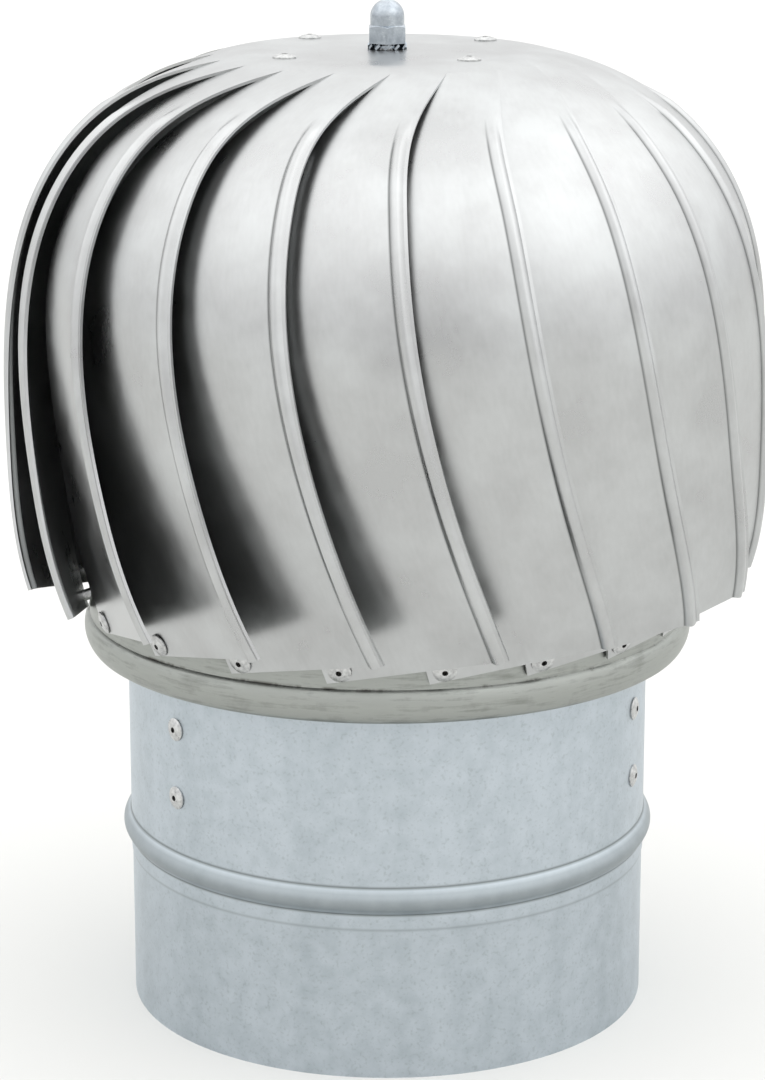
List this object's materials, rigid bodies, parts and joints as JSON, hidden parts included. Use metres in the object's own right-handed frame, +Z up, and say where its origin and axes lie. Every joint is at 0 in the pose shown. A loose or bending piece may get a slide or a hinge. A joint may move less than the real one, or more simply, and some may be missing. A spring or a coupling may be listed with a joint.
{
  "type": "rotating chimney cowl",
  "caption": "Slotted metal dome that turns on a spindle in ball bearings above a flue tube with a stop bead; wind turns it, keeps rain out and draws smoke up.",
  "frame": {"origin": "centre of the flue tube's lower edge", "axes": "+Z up along the spindle, -Y towards the viewer of the picture"},
  "size_m": [0.2166, 0.2166, 0.2885],
  "materials": {
    "galvanised_tube": "galvanised sheet, faint spangle",
    "galvanised_strip": "galvanised strip, matt",
    "blind_rivet": "bright aluminium, hollow head",
    "turned_steel": "turned steel",
    "spring_steel": "phosphated spring steel",
    "zinc_hardware": "bright zinc plate",
    "dome_sheet": "bright drawn stainless sheet",
    "collar_sheet": "duller rolled sheet",
    "bearing_steel": "ground bearing steel",
    "cage_nylon": "natural nylon"
  },
  "bodies": {
    "base": {"flue_tube": "galvanised_tube", "bearing_arm_1": "galvanised_strip", "bearing_arm_2": "galvanised_strip", "bearing_arm_3": "galvanised_strip", "arm_rivets": "blind_rivet", "bearing_housing": "turned_steel", "lower_clip_ring": "spring_steel", "upper_clip_ring": "spring_steel", "lower_bearing_outer_ring": "bearing_steel", "upper_bearing_outer_ring": "bearing_steel"},
    "rotor": {"slotted_dome": "dome_sheet", "collar": "collar_sheet", "collar_rivets": "blind_rivet", "stiffening_plate": "galvanised_strip", "crown_rivets": "blind_rivet", "toothed_washer": "zinc_hardware", "cap_nut": "zinc_hardware", "spindle": "turned_steel", "spacer_sleeve": "turned_steel", "flat_washer": "zinc_hardware", "lock_nut": "zinc_hardware", "lower_bearing_inner_ring": "bearing_steel", "upper_bearing_inner_ring": "bearing_steel"},
    "lower_ball_set": {"lower_bearing_balls": "bearing_steel", "lower_bearing_cage": "cage_nylon"},
    "upper_ball_set": {"upper_bearing_balls": "bearing_steel", "upper_bearing_cage": "cage_nylon"}
  },
  "joints": [
    {"name": "rotor_spin", "type": "hinge", "parent": "base", "child": "rotor", "pos_m": [0, 0, 0.18], "axis": [0, 0, 1], "continuous": true},
    {"name": "lower_cage_spin", "type": "hinge", "parent": "base", "child": "lower_ball_set", "pos_m": [0, 0, 0.101], "axis": [0, 0, 1], "continuous": true},
    {"name": "upper_cage_spin", "type": "hinge", "parent": "base", "child": "upper_ball_set", "pos_m": [0, 0, 0.179], "axis": [0, 0, 1], "continuous": true}
  ],
  "couplings": [
    {"joint": "lower_cage_spin", "follows": "rotor_spin", "ratio": 0.368},
    {"joint": "upper_cage_spin", "follows": "rotor_spin", "ratio": 0.368}
  ]
}
